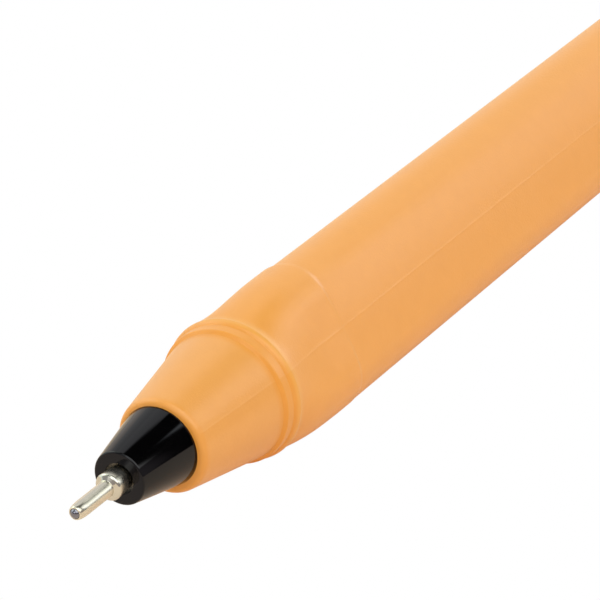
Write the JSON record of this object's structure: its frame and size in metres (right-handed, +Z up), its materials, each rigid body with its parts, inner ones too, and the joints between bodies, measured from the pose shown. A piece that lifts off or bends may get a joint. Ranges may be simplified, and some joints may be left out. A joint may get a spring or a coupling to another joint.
{
  "type": "ballpoint pen",
  "caption": "Needle-point stick ballpoint pen with a soft-triangular orange barrel, black tip holder and a black clip cap posted on its rear end.",
  "frame": {"origin": "centre of the pen's box, on the surface under the flat of the posted cap", "axes": "+X along the pen from the writing tip to the cap's end, +Z up through a corner of the triangular barrel"},
  "size_m": [0.1636, 0.0126, 0.0142],
  "materials": {
    "barrel_orange": "satin moulded plastic",
    "holder_black": "polished moulded plastic",
    "tip_metal": "turned nickel silver",
    "ball_carbide": "polished carbide with a film of ink",
    "tube_clear": "translucent extruded plastic",
    "ink_black": "wet ink",
    "follower_grease": "clear grease",
    "plug_black": "moulded plastic",
    "cap_black": "moulded plastic"
  },
  "bodies": {
    "pen": {"barrel": "barrel_orange", "tip_holder": "holder_black", "needle_tip": "tip_metal", "ink_tube": "tube_clear", "ink_column": "ink_black", "ink_follower": "follower_grease", "end_plug": "plug_black"},
    "cap": {"cap": "cap_black"},
    "ball": {"writing_ball": "ball_carbide"}
  },
  "joints": [
    {"name": "cap_pull", "type": "slide", "parent": "pen", "child": "cap", "axis": [1, 0, 0], "range_m": [0, 0.0244]},
    {"name": "ball_roll", "type": "hinge", "parent": "pen", "child": "ball", "pos_m": [-0.08142, 0, 0.00564], "axis": [0, 1, 0], "continuous": true}
  ]
}
